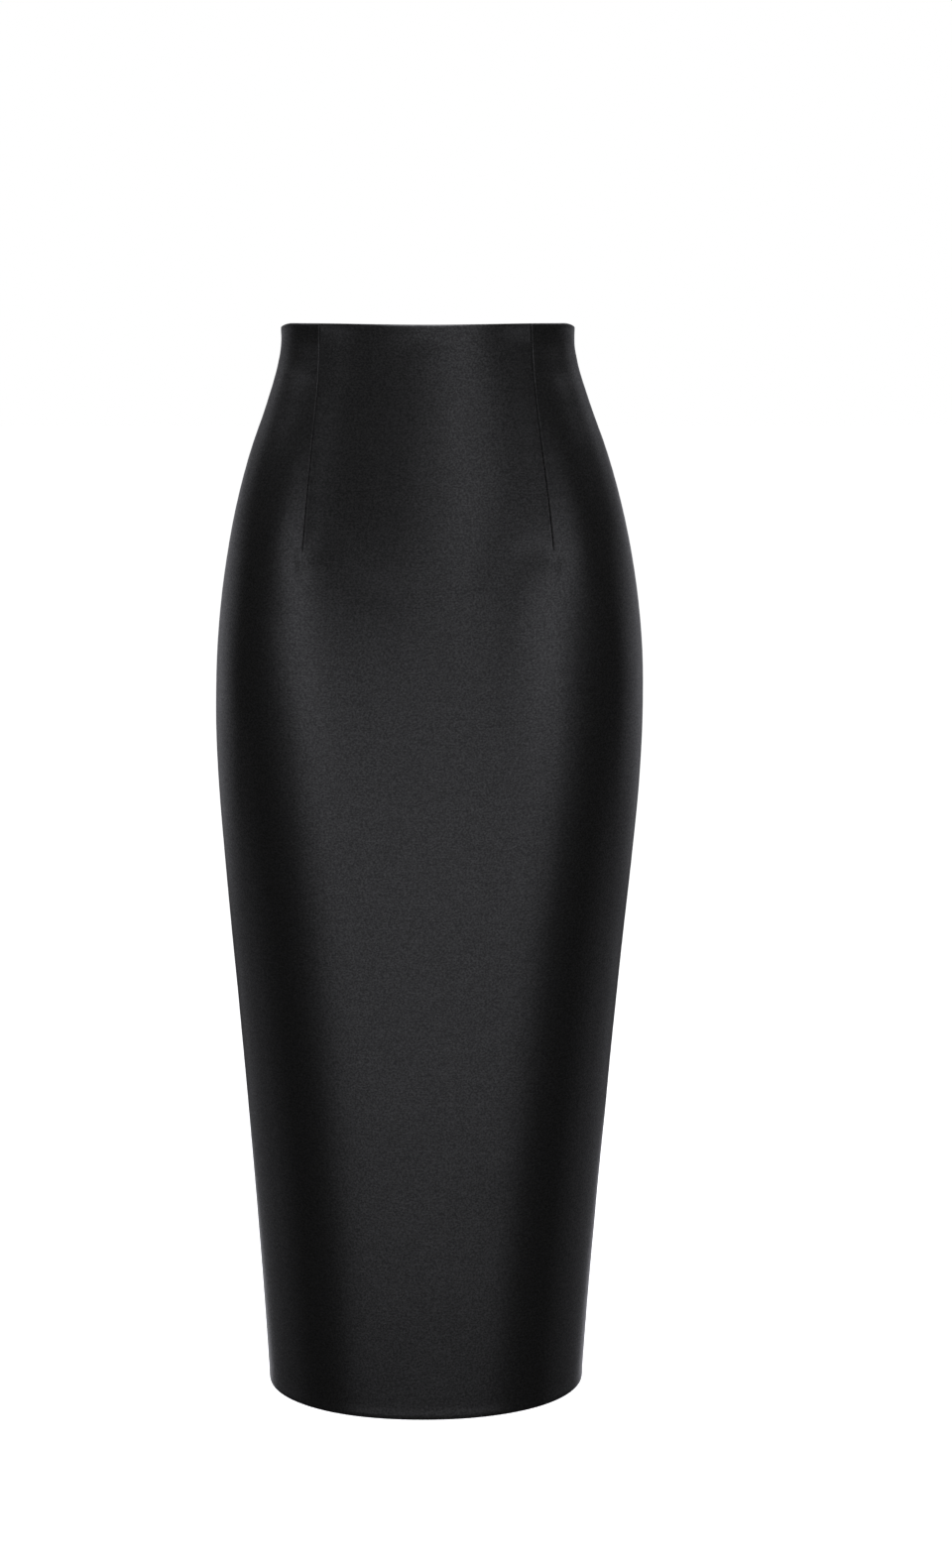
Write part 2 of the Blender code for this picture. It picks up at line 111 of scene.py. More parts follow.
DART_SINK = 0.0013          # depth of the stitched line
DART_HALF_WIDTH = 0.0010    # from the stitched line to the level cloth
DART_STEEPNESS = 2.5        # power by which the cloth falls into the line
DART_TOP = 0.0035           # length over which the line sinks in below the waist fold
DART_LINE_FADE = 0.008      # length over which it dies out above the tip
DART_FADE = 0.022           # the same for the turn and the puckers of the cloth beside it
DART_KINK = 0.320           # turn of the cloth at the stitched line, in radians
DART_KINK_REACH = 0.009     # how far from the line the cloth has recovered
DART_KINK_RUN = 0.014       # how far the turn runs on below the tip
DART_PUCKER_LENGTH = 0.011  # from one pucker to the next
DART_DIMPLE = 0.0005        # dent in the cloth just below a dart's tip
DART_DIMPLE_DROP = 0.004    # from the tip down to its middle
DART_DIMPLE_WIDTH = 0.005
DART_DIMPLE_HEIGHT = 0.011
DART_BULGE = 0.0006         # fullness that the dart lets out round its tip
DART_BULGE_DROP = 0.010
DART_BULGE_WIDTH = 0.026
DART_BULGE_HEIGHT = 0.040

SEAM_ROLL = 0.0006          # how far a panel's edge rolls in at its seam
SEAM_ROLL_WIDTH = 0.0024
SEAM_PUCKER_LENGTH = 0.013
SEAM_PUCKER_START = 0.8     # where the puckers of a panel's first seam start, in radians
SEAM_PUCKER_SHIFT = 1.7     # and how much further on those of its second seam do
PUCKER = 0.00010            # height of the puckers along a seam or a dart
PUCKER_REACH = 0.008

WAIST_SWELL = 0.00005       # how far the cloth stands out over the turned waist edge
WAIST_SWELL_WIDTH = 0.0028
WAIST_SHELF = 0.5           # share of that swell which runs on below its crest
WAIST_SHELF_END = 0.006     # depth from which it fades, and the length over which it does
HEM_SWELL = 0.00025         # how far the cloth stands out over the turned hem
HEM_SWELL_WIDTH = 0.0030
SWELL_CREST = 0.0035        # from a fold to the crest of its swell

# An uneven ripple is a sum of waves. Each has its share of the height, the times it repeats in a
# wavelength, and how many of the ripple's starts it is set further on.
RIPPLE_PARTS = (
    (1.0, 1.0, 0.0),
    (0.6, 0.618, 2.0),
    (0.4, 1.73, 3.0),
)

# Broad, shallow waves of a worn cloth. Each is a ripple down the cloth times a ripple across it. A slant
# is how far a ripple's crests lean, and panel_shift sets the front's waves apart from the back's.
UNEVENNESS = 0.00018
WAVE_COLUMNS = ("share", "down_slant", "down_length", "down_start",
                "across_slant", "across_length", "across_start", "panel_shift")
WAVES = (
    (1.0, 0.35, 0.150, 0.7, -0.20, 0.120, 1.9, 1.0),
    (0.5, -0.50, 0.085, 2.6, 0.00, 0.070, 0.4, 0.0),
)

INSIDE_GAP = 0.0015         # between a turned edge and the strips that end at it
LAYER_GAP = 0.00005         # between a panel and the strips on its inside
ALLOWANCE_CLOTH = 0.0006    # one layer of a strip on the inside
SIDE_ALLOWANCE = 0.013      # width of the seam allowances at the sides
BACK_ALLOWANCE = 0.015      # and at the centre back
SLIT_FACING = 0.032         # width of the slit's turned-in edge
SLIT_FACING_RISE = 0.030    # stretch above the slit over which the allowance widens to it
DART_INTAKE = 0.015         # width of the dart's fold at the waist
DART_FOLD_LEAST = 0.03      # the least share of that width, at the tip
STRIPS_START = WAIST_TURNING + INSIDE_GAP
STRIPS_END = LENGTH - HEM_TURNING - INSIDE_GAP
STRIP_COLUMNS = 8
STRIP_ROW = 0.004           # height of a strip's rows
STRIP_FOLD = 4              # steps round a strip's upper and lower edge

ZIP_TOP = 0.004
ZIP_LENGTH = 0.215
TAPE_WIDTH = 0.012
TAPE_EDGE = 0.0017          # from the centre back to the tape's inner edge
TAPE_INSET = 0.00175        # from the cloth's outer face to the tape's
TAPE_THICKNESS = 0.0005
COIL_PITCH = 0.00125        # from one turn to the next
COIL_STAGGER = 0.5          # how much lower the right side's turns lie, in pitches
COIL_END = 0.002            # bare tape above and below the coil
COIL_STEPS = 10             # steps in one turn
COIL_SIDES = 5              # sides of the wire
COIL_MIDDLE = 0.00085       # from the centre back to the middle of one side's turns
COIL_REACH = 0.00120        # half the width of a turn
COIL_INSET = 0.0029         # from the cloth's outer face to the middle of the turns
COIL_DEPTH = 0.00040        # half the thickness of a turn
COIL_WIRE = 0.00020         # radius of the wire

# Soft creases: where the middle lies (arc and depth), half its length and width, how far it is turned
# from level (degrees, positive down towards +X), how far its ends curve down, and its height.
CREASE_COLUMNS = ("facing", "arc", "depth", "length", "width", "turn", "curve", "height")
CREASES = (
    (FRONT, 0.058, 0.186, 0.044, 0.016, -38.0, 0.5, -0.0006),
    (FRONT, -0.048, 0.200, 0.038, 0.014, 35.0, -0.4, -0.0003),
    (FRONT, 0.000, 0.012, 0.046, 0.007, 0.0, 1.0, 0.0002),
    (FRONT, -0.125, 0.030, 0.030, 0.009, 12.0, 0.0, -0.0003),
    (FRONT, 0.130, 0.036, 0.026, 0.008, -10.0, 0.0, -0.0003),
    (FRONT, -0.170, 0.330, 0.060, 0.022, 64.0, 0.0, -0.0004),
    (FRONT, 0.168, 0.352, 0.070, 0.020, -68.0, 0.0, -0.0004),
    (FRONT, 0.020, 0.470, 0.110, 0.034, 4.0, 0.3, 0.0003),
    (BACK, 0.060, 0.052, 0.055, 0.011, -7.0, 1.4, -0.0012),
    (BACK, -0.052, 0.060, 0.048, 0.010, 9.0, 1.2, -0.0010),
    (BACK, 0.020, 0.088, 0.070, 0.012, -4.0, 1.0, -0.0007),
    (BACK, -0.110, 0.096, 0.034, 0.010, 18.0, 0.0, -0.0006),
    (BACK, 0.105, 0.345, 0.052, 0.015, 16.0, -1.0, -0.0009),
    (BACK, -0.098, 0.362, 0.060, 0.016, -14.0, -1.0, -0.0011),
    (BACK, 0.030, 0.610, 0.045, 0.010, 52.0, 0.0, -0.0008),
    (BACK, -0.032, 0.618, 0.050, 0.011, -50.0, 0.0, -0.0009),
    (BACK, 0.075, 0.560, 0.050, 0.014, 34.0, 0.0, -0.0005),
    (BACK, -0.070, 0.548, 0.044, 0.013, -30.0, 0.0, -0.0005),
)

# Depths of the cloth's rows: down to each depth in so many equal steps.
FOLD_ROWS = 0.004           # stretch of close rows beside the waist fold and the hem fold
BELOW_DARTS = 0.200
ROW_BANDS = (
    (FOLD_ROWS, 6),
    (WAIST_TURNING, 5),
    (WAIST_TURNING + TURNING_STEP, 2),
    (BELOW_DARTS, 76),
    (LENGTH - SLIT_LENGTH, 92),
    (LENGTH - HEM_TURNING - TURNING_STEP, 42),
    (LENGTH - HEM_TURNING, 2),
    (LENGTH - FOLD_ROWS, 12),
    (LENGTH - EDGE_ROUND, 5),
)

# Columns of a panel: how far each stands from a seam or from a dart's line, and the steps between them.
EDGE_OFFSETS = (0.0, 0.0006, 0.0026, 0.0080)
EDGE_STEPS = (2, 3, 3)
DART_OFFSETS = (-0.0080, -0.0010, 0.0, 0.0010, 0.0080)
DART_STEPS = (5, 3, 3, 5)
FRONT_SIDE_STEPS = (13,)    # from a side seam's columns to a dart's
FRONT_MIDDLE_STEPS = (38,)  # from one dart's columns to the other's
BACK_MIDDLE_STEPS = (16,)
BACK_SIDE_STEPS = (24,)
DART_OPENING = 2.2          # how much wider the dart's columns stand below its tip
DART_OPENING_DROP = 0.015   # from the tip down to where they start to widen
DART_OPENING_RUN = 0.080

OUTLINE_STEPS = 160         # steps of a section from centre line to side seam
SHARP_ANGLE = math.radians(50.0)


def smoothstep(t):
    """0 up to t = 0, 1 from t = 1, and a smooth rise between them."""
    t = np.clip(t, 0.0, 1.0)
    return t * t * (3.0 - 2.0 * t)


def bell(t):
    """1 at t = 0, and a smooth fall to nearly 0 at t = 2 on both sides."""
    return np.exp(-t * t)


def smooth_lookup(table, columns, name, depths):
    """One column's values at the depths, on a smooth curve through the table's rows."""
    knots = table[:, 0]
    values = table[:, columns.index(name)]
    depths = np.clip(depths, knots[0], knots[-1])
    slopes = np.gradient(values, knots)
    row = np.clip(np.searchsorted(knots, depths) - 1, 0, len(knots) - 2)
    span = knots[row + 1] - knots[row]
    t = (depths - knots[row]) / span
    rise = t * t * (3.0 - 2.0 * t)
    start = t * (1.0 - t) ** 2 * slopes[row] * span
    end = t * t * (t - 1.0) * slopes[row + 1] * span
    return values[row] * (1.0 - rise) + values[row + 1] * rise + start + end


def section_value(name, depths):
    return smooth_lookup(SECTIONS, SECTION_COLUMNS, name, depths)


def outlines(facing, depths):
    """Sections from centre line to side seam, one row for each depth: arcs, xs, ys and normals."""
    half_width = section_value("half_width", depths)[:, None]
    reach = section_value("front" if facing == FRONT else "back", depths)[:, None]
    power = section_value("front_power" if facing == FRONT else "back_power", depths)[:, None]
    angles = np.linspace(0.0, math.pi / 2.0, OUTLINE_STEPS + 1)[None, :]
    sines = np.sin(angles)
    cosines = np.clip(np.cos(angles), 0.0, 1.0)
    radii = ((sines / half_width) ** power + (cosines / reach) ** power) ** (-1.0 / power)
    xs = radii * sines
    ys = radii * cosines
    steps = np.hypot(np.diff(xs, axis=1), np.diff(ys, axis=1))
    arcs = np.concatenate((np.zeros((len(depths), 1)), np.cumsum(steps, axis=1)), axis=1)
    normal_xs = xs ** (power - 1.0) / half_width ** power
    normal_ys = ys ** (power - 1.0) / reach ** power
    lengths = np.hypot(normal_xs, normal_ys)
    return arcs, xs, ys, normal_xs / lengths, normal_ys / lengths


def half_girth(facing, depths):
    """Arc from the centre line to the side seam, at each depth."""
    return outlines(facing, depths)[0][:, -1]


def waist_dip(facing, share):
    """Drop of the waist edge at a share of the way from the centre line to the side seam."""
    if facing == FRONT:
        centre = WAIST_DIP_FRONT * (1.0 - smoothstep(share / WAIST_DIP_FRONT_END))
        return centre + WAIST_DIP_SIDE * smoothstep((share - WAIST_DIP_START) / (1.0 - WAIST_DIP_START))
    return WAIST_DIP_SIDE + (WAIST_DIP_BACK - WAIST_DIP_SIDE) * smoothstep(1.0 - share)


def cloth_points(facing, depths, arcs, insets):
    """The points of a grid: one depth for each row, arcs and insets for each point."""
    table = outlines(facing, depths)
    sways = section_value("sway", depths)
    points = np.empty(arcs.shape + (3,))
    for i, depth in enumerate(depths):
        along, xs, ys, normal_xs, normal_ys = (column[i] for column in table)
        place = np.minimum(np.abs(arcs[i]), along[-1])
        x = np.interp(place, along, xs) - insets[i] * np.interp(place, along, normal_xs)
        y = np.interp(place, along, ys) - insets[i] * np.interp(place, along, normal_ys)
        y *= facing
        dip = waist_dip(facing, place / along[-1]) * (1.0 - smoothstep(depth / WAIST_BLEND))
        fall = HEM_FALL * y * smoothstep((depth - LENGTH + HEM_BLEND) / HEM_BLEND)
        points[i, :, 0] = np.where(arcs[i] < 0.0, -x, x) + sways[i]
        points[i, :, 1] = y
        points[i, :, 2] = -depth - dip + fall
    return points


def centre_back_edge(depths):
    """Half the gap between the two back panels: seam, neck of the slider, and slit."""
    off_slider = np.minimum(np.abs(depths - SLIDER_DEPTH) / NECK_REACH, 1.0)
    below_slit_top = np.maximum(depths - LENGTH + SLIT_LENGTH, 0.0) / SLIT_LENGTH
    return (NECK_SPREAD * (1.0 - off_slider ** 2) ** 2
            + SLIT_SPREAD / 2.0 * below_slit_top ** SLIT_CURVE)


def dart_arcs(facing, name, depths, tip):
    """Arc of a dart's line at each depth; below the tip it keeps the tip's share of the girth."""
    levels = np.minimum(depths, tip)
    xs = smooth_lookup(DARTS, DART_COLUMNS, name, levels) - section_value("sway", levels)
    table = outlines(facing, levels)
    shares = np.array([np.interp(abs(x), table[1][i], table[0][i]) / table[0][i, -1]
                       for i, x in enumerate(xs)])
    return np.sign(xs) * shares * half_girth(facing, depths)


# ---------------------------------------------------------------- relief of the outer face

def darts_of(facing):
    """Each dart on a side of the skirt: column name, tip depth and side of the centre line."""
    if facing == FRONT:
        return (("front_right", FRONT_DART_LENGTH, 1), ("front_left", FRONT_DART_LENGTH, 1))
    return (("back", BACK_DART_LENGTH, 1), ("back", BACK_DART_LENGTH, -1))


def ripple(places, wavelength, start):
    """An uneven wave between -1 and 1, with crests about a wavelength apart."""
    turns = 2.0 * math.pi * places / wavelength + start
    parts = [share * np.sin(often * turns + on * start) for share, often, on in RIPPLE_PARTS]
    return sum(parts) / sum(share for share, often, on in RIPPLE_PARTS)


def dart_relief(facing, depths, arcs):
    """The stitched lines and their puckers, with the dimple and the fullness at their tips."""
    relief = np.zeros_like(arcs)
    level = depths[:, None]
    for start, (name, tip, side) in enumerate(darts_of(facing), 1):
        line = side * dart_arcs(facing, name, depths, tip)[:, None]
        away = np.abs(arcs - line)
        stitched = smoothstep((tip - level) / DART_LINE_FADE) * smoothstep(level / DART_TOP)
        nearness = np.maximum(1.0 - away / DART_HALF_WIDTH, 0.0)
        relief -= DART_SINK * stitched * nearness ** DART_STEEPNESS
        strength = smoothstep((tip - level) / DART_FADE)
        bent = smoothstep((tip + DART_KINK_RUN - level) / DART_FADE)
        relief -= DART_KINK / 2.0 * bent * away * np.exp(-away / DART_KINK_REACH)
        pucker = PUCKER * ripple(level, DART_PUCKER_LENGTH, start) * np.exp(-away / PUCKER_REACH)
        relief += pucker * strength * smoothstep(away / DART_HALF_WIDTH)
        below = level - tip
        relief -= (DART_DIMPLE * bell(away / DART_DIMPLE_WIDTH)
                   * bell((below - DART_DIMPLE_DROP) / DART_DIMPLE_HEIGHT))
        relief += (DART_BULGE * bell(away / DART_BULGE_WIDTH)
                   * bell((below - DART_BULGE_DROP) / DART_BULGE_HEIGHT))
    return relief


def seam_relief(depths, from_edge, start):
    """A panel's edge, rolled into its seam and lightly puckered along it."""
    roll = np.maximum(1.0 - from_edge / SEAM_ROLL_WIDTH, 0.0) ** 2
    pucker = ripple(depths[:, None], SEAM_PUCKER_LENGTH, start) * np.exp(-from_edge / PUCKER_REACH)
    return -SEAM_ROLL * roll + PUCKER * pucker * (1.0 - roll)


def fold_relief(depths):
    """The swell over the turned-in waist edge and the turned-up hem."""
    shelf = WAIST_SHELF * (1.0 - smoothstep((depths - WAIST_SHELF_END) / WAIST_SHELF_END))
    waist = bell((depths - SWELL_CREST) / WAIST_SWELL_WIDTH) + shelf
    hem = bell((LENGTH - depths - SWELL_CREST) / HEM_SWELL_WIDTH)
    return WAIST_SWELL * waist + HEM_SWELL * hem


def crease_relief(facing, depths, arcs):
    """The soft creases that are placed one by one."""
    relief = np.zeros_like(arcs)
    for row in CREASES:
        crease = dict(zip(CREASE_COLUMNS, row))
        if crease["facing"] != facing:
            continue
        turn = math.radians(crease["turn"])
        across = arcs - crease["arc"]
        down = depths[:, None] - crease["depth"]
        along = across * math.cos(turn) + down * math.sin(turn)
        off = down * math.cos(turn) - across * math.sin(turn)
        off = off - crease["curve"] * along ** 2 / crease["length"]
        relief += crease["height"] * bell(along / crease["length"]) * bell(off / crease["width"])
    return relief


def broad_relief(facing, depths, arcs):
    """Shallow waves, a hand's breadth apart."""
    relief = np.zeros_like(arcs)
    level = depths[:, None]
    for row in WAVES:
        wave = dict(zip(WAVE_COLUMNS, row))
        shift = wave["panel_shift"] * facing
        down = ripple(level + wave["down_slant"] * arcs, wave["down_length"], wave["down_start"] + shift)
        across = ripple(arcs + wave["across_slant"] * level, wave["across_length"],
                        wave["across_start"] + shift)
        relief += UNEVENNESS * wave["share"] * down * across
    return relief


def outer_relief(facing, depths, arcs, from_edges):
    """How far the cloth's outer face stands out from the plain form, at each point."""
    relief = dart_relief(facing, depths, arcs) + fold_relief(depths)[:, None]
    relief += crease_relief(facing, depths, arcs) + broad_relief(facing, depths, arcs)
    for seam, from_edge in enumerate(from_edges):
        relief += seam_relief(depths, from_edge, SEAM_PUCKER_START + SEAM_PUCKER_SHIFT * seam)
    return relief


# ---------------------------------------------------------------- columns

def columns_between(anchors, steps):
    """Arcs of every column (one row for each depth): the anchors, with even steps between them."""
    columns = [anchors[0]]
    for left, right, count in zip(anchors, anchors[1:], steps):
        columns += [left + (right - left) * step / count for step in range(1, count + 1)]
    return np.stack(columns, axis=1)


def dart_anchors(facing, name, depths, tip):
    below = depths - tip - DART_OPENING_DROP
    opening = 1.0 + DART_OPENING * smoothstep(below / DART_OPENING_RUN)
    line = dart_arcs(facing, name, depths, tip)
    return [line + offset * opening for offset in DART_OFFSETS]


def front_columns(depths):
    seam = half_girth(FRONT, depths)
    anchors = [-seam + offset for offset in EDGE_OFFSETS]
    anchors += dart_anchors(FRONT, "front_right", depths, FRONT_DART_LENGTH)
    anchors += dart_anchors(FRONT, "front_left", depths, FRONT_DART_LENGTH)
    anchors += [seam - offset for offset in EDGE_OFFSETS[::-1]]
    half = EDGE_STEPS + FRONT_SIDE_STEPS + DART_STEPS
    return columns_between(anchors, half + FRONT_MIDDLE_STEPS + half[::-1])


def back_columns(side):
    """Columns of one back panel, from the centre back edge to the side seam."""
    def columns(depths):
        seam = half_girth(BACK, depths)
        edge = centre_back_edge(depths)
        anchors = [edge + offset for offset in EDGE_OFFSETS]
        anchors += dart_anchors(BACK, "back", depths, BACK_DART_LENGTH)
        anchors += [seam - offset for offset in EDGE_OFFSETS[::-1]]
        steps = EDGE_STEPS + BACK_MIDDLE_STEPS + DART_STEPS + BACK_SIDE_STEPS + EDGE_STEPS[::-1]
        return side * columns_between(anchors, steps)
    return columns


def cloth_rows():
    """The depths of a panel's rows, from the rounding of the waist fold to that of the hem fold."""
    depths = [EDGE_ROUND]
    for end, steps in ROW_BANDS:
        start = depths[-1]
        depths += [start + (end - start) * step / steps for step in range(1, steps + 1)]
    return np.array(depths)


# ---------------------------------------------------------------- meshes

def new_mesh_object(name, points, faces, materials, face_slots=None, places=None):
    """A smooth-shaded object. places are each point's arc and depth, for the cloth's UV map."""
    mesh = bpy.data.meshes.new(name)
    mesh.from_pydata([tuple(p) for p in points], [], faces)
    for material in materials:
        mesh.materials.append(material)
    if face_slots is not None:
        mesh.polygons.foreach_set("material_index", face_slots)
    if places is not None:
        corners = np.empty(len(mesh.loops), dtype=np.int32)
        mesh.loops.foreach_get("vertex_index", corners)
        layer = mesh.uv_layers.new(name="cloth")
        layer.uv.foreach_set("vector", np.asarray(places, dtype=np.float32)[corners].ravel())
    mesh.shade_smooth()
    mesh.set_sharp_from_angle(angle=SHARP_ANGLE)
    obj = bpy.data.objects.new(name, mesh)
    bpy.context.collection.objects.link(obj)
    return obj


def shell(name, facing, depths, arcs, outer, thickness, materials, rounding, fold=FOLD_STEPS):
    """A closed sheet of cloth with rounded upper and lower edges.

    arcs and outer (the inset of the outer face) have a row for each depth; thickness has one value
    for each depth. The first and last rows are folded over with round edges, as high as rounding.
    Of two materials, the second is the inner face's.
    """
    def folded(row, direction):
        """Depths, arcs and insets of a rounded edge, from the outer face round to the inner one."""
        angles = math.pi * np.arange(1, fold) / fold
        into = thickness[row] * (1.0 - np.cos(angles)) / 2.0
        return (depths[row] + direction * rounding * np.sin(angles),
                np.repeat(arcs[row][None, :], fold - 1, axis=0), outer[row] + into[:, None])

    rows, count = arcs.shape
    inner = outer + thickness[:, None]
    upper = [values[::-1] for values in folded(0, -1.0)]
    sheets = ((depths, arcs, outer), folded(-1, 1.0), (depths[::-1], arcs[::-1], inner[::-1]), upper)
    levels, across, insets = (np.concatenate(values) for values in zip(*sheets))
    points = cloth_points(facing, levels, across, insets)
    places = np.stack((across, np.repeat(levels[:, None], count, axis=1)), axis=-1)
    loops = len(levels)
    first_inner = rows + fold - 1
    last_inner = first_inner + rows - 1
    flip = facing * (1 if arcs[0, -1] > arcs[0, 0] else -1) < 0
    faces, face_slots = [], []

    def add(face, slot):
        faces.append(face if flip else face[::-1])
        face_slots.append(slot)

    for i in range(loops):
        below = (i + 1) % loops
        slot = int(first_inner <= i < last_inner)
        for j in range(count - 1):
            add((i * count + j, below * count + j, below * count + j + 1, i * count + j + 1), slot)
    for column, turned in ((0, False), (count - 1, True)):
        for i in range(rows - 1):
            inside = last_inner - i
            face = (i * count + column, inside * count + column,
                    (inside - 1) * count + column, (i + 1) * count + column)
            add(face[::-1] if turned else face, 0)
        hem = tuple(i * count + column for i in range(rows - 1, first_inner + 1))
        waist = tuple(i % loops * count + column for i in range(last_inner, loops + 1))
        add(hem if turned else hem[::-1], 0)
        add(waist if turned else waist[::-1], 0)
    return new_mesh_object(name, points.reshape(-1, 3), faces, materials,
                           face_slots if len(materials) > 1 else None, places.reshape(-1, 2))


# ---------------------------------------------------------------- materials

# Of a pair, the first is for where a surface's noise is low and the second for where it is high. Scales
# are in a pattern's own units for each metre, on the cloth across the threads and along them.
NOISE_RANGE = (0.30, 0.70)          # a noise seldom leaves it
FULL_RANGE = (0.0, 1.0)
LATTICE_TURN = 0.6                  # how far a noise's cells lie askew, in radians
BUMP_HEIGHT = 0.0002

GRAIN_SCALE = (640.0, 760.0)        # fine grain of the floats
SLUB_SCALE = (70.0, 900.0)          # threads that are a little thicker for a centimetre or two
MOTTLE_SCALE = (45.0, 38.0)         # gloss that shifts from one patch to the next
GRAIN_COAT = (-0.22, 0.82)
SLUB_COAT = (-0.10, 0.10)
MOTTLE_ROUGHNESS = 0.008
SATIN_SPECULAR = 0.30
SATIN_FACE = {
    "colours": ((0.0050, 0.0050, 0.0047), (0.0112, 0.0112, 0.0105)),
    "roughness": 0.285,
    "weave": 0.35,
}
SATIN_REVERSE = {
    "colours": ((0.0080, 0.0080, 0.0084), (0.0160, 0.0160, 0.0168)),
    "roughness": 0.60,
    "weave": 0.50,
}

TWILL_SCALE = (420.0, 420.0)
TWILL_COLOURS = ((0.006, 0.006, 0.007), (0.018, 0.018, 0.020))
TWILL_ROUGHNESS = 0.78
TWILL_SPECULAR = 0.35
TWILL_WEAVE = 0.5

LACQUER_COLOURS = ((0.012, 0.012, 0.014), (0.045, 0.045, 0.050))
LACQUER_ROUGHNESS = (0.24, 0.36)
WEAR_SCALE = 900.0
WEAR_RANGE = (0.45, 0.75)           # noise above which the lacquer starts to pale, and is palest

NYLON_COLOUR = (0.012, 0.012, 0.013)
NYLON_ROUGHNESS = (0.30, 0.42)
SCUFF_SCALE = 1400.0


class Nodes:
    """A material and short ways to build its node tree."""

    def __init__(self, name):
        self.material = bpy.data.materials.new(name)
        self.material.use_nodes = True
        self.tree = self.material.node_tree
        self.shader = self.tree.nodes["Principled BSDF"]

    def add(self, kind, **values):
        node = self.tree.nodes.new(kind)
        for key, value in values.items():
            if key in node.inputs:
                node.inputs[key].default_value = value
            else:
                setattr(node, key, value)
        return node

    def link(self, source, target):
        self.tree.links.new(source, target)

    def drive(self, socket, source):
        """Links a node's output to one of the shader's sockets."""
        self.link(source, self.shader.inputs[socket])

    def settings(self, **values):
        for key, value in values.items():
            self.shader.inputs[key.replace("_", " ")].default_value = value

    def noise(self, place, detail, roughness, scale=1.0):
        node = self.add("ShaderNodeTexNoise", Scale=scale, Detail=detail, Roughness=roughness)
        self.link(place, node.inputs["Vector"])
        return node.outputs["Fac"]

    def ramp(self, factor, span, ends):
        """A value that runs from one end to the other as factor goes through its span."""
        node = self.add("ShaderNodeMapRange")
        for key, value in zip(("From Min", "From Max", "To Min", "To Max"), (*span, *ends)):
            node.inputs[key].default_value = value
        self.link(factor, node.inputs["Value"])
        return node.outputs["Result"]

    def colour(self, factor, dark, light):
        """Base colour, from dark to light with factor."""
        node = self.add("ShaderNodeMix", data_type="RGBA")
        node.inputs["A"].default_value = (*dark, 1.0)
        node.inputs["B"].default_value = (*light, 1.0)
        self.link(factor, node.inputs["Factor"])
        self.drive("Base Color", node.outputs["Result"])

    def bump(self, height, strength, *sockets):
        node = self.add("ShaderNodeBump", Strength=strength, Distance=BUMP_HEIGHT)
        self.link(height, node.inputs["Height"])
        for socket in sockets:
            self.drive(socket, node.outputs["Normal"])

    def on_cloth(self, scale, turn=0.0):
        """The cloth's own arc and depth, in metres, scaled so that noise stretches with the threads.

        turn lays a noise's lattice askew, so that it doesn't show as a grid.
        """
        uv = self.add("ShaderNodeUVMap", uv_map="cloth")
        mapping = self.add("ShaderNodeMapping", Scale=(*scale, 1.0), Rotation=(turn, turn, turn))
        self.link(uv.outputs["UV"], mapping.inputs["Vector"])
        return mapping.outputs["Vector"]

    def on_object(self):
        return self.add("ShaderNodeTexCoord").outputs["Object"]


def satin(name, colours, roughness, weave):
    """Black satin. Its floats lie unevenly, and the gloss comes and goes within a millimetre or two."""
    nodes = Nodes(name)
    nodes.settings(Specular_IOR_Level=SATIN_SPECULAR, Coat_Roughness=roughness)
    grain = nodes.noise(nodes.on_cloth(GRAIN_SCALE, LATTICE_TURN), detail=4.0, roughness=0.6)
    slubs = nodes.noise(nodes.on_cloth(SLUB_SCALE, LATTICE_TURN), detail=2.0, roughness=0.5)
    mottle = nodes.noise(nodes.on_cloth(MOTTLE_SCALE, LATTICE_TURN), detail=3.0, roughness=0.6)
    nodes.colour(nodes.ramp(grain, NOISE_RANGE, FULL_RANGE), *colours)

    threads = nodes.add("ShaderNodeMath", operation="ADD")
    nodes.link(nodes.ramp(grain, NOISE_RANGE, GRAIN_COAT), threads.inputs[0])
    nodes.link(nodes.ramp(slubs, NOISE_RANGE, SLUB_COAT), threads.inputs[1])
    nodes.drive("Coat Weight", threads.outputs["Value"])

    patches = (roughness - MOTTLE_ROUGHNESS, roughness + MOTTLE_ROUGHNESS)
    nodes.drive("Roughness", nodes.ramp(mottle, NOISE_RANGE, patches))
    nodes.bump(grain, weave, "Normal", "Coat Normal")
    return nodes.material


def woven_tape(name):
    """The zip's tape: a close diagonal twill, matt."""
    nodes = Nodes(name)
    nodes.settings(Roughness=TWILL_ROUGHNESS, Specular_IOR_Level=TWILL_SPECULAR)
    twill = nodes.add("ShaderNodeTexWave", wave_type="BANDS", bands_direction="DIAGONAL",
                      Scale=1.0, Distortion=0.6, Detail=1.0)
    nodes.link(nodes.on_cloth(TWILL_SCALE), twill.inputs["Vector"])
    nodes.colour(twill.outputs["Fac"], *TWILL_COLOURS)
    nodes.bump(twill.outputs["Fac"], TWILL_WEAVE, "Normal")
    return nodes.material


def lacquered_metal(name):
    """The slider and its pull: black lacquer over zinc, a little worn."""
    nodes = Nodes(name)
    nodes.settings(Metallic=0.7, Coat_Weight=0.5, Coat_Roughness=0.12)
    wear = nodes.noise(nodes.on_object(), detail=4.0, roughness=0.6, scale=WEAR_SCALE)
    nodes.colour(nodes.ramp(wear, WEAR_RANGE, FULL_RANGE), *LACQUER_COLOURS)
    nodes.drive("Roughness", nodes.ramp(wear, NOISE_RANGE, LACQUER_ROUGHNESS))
    return nodes.material


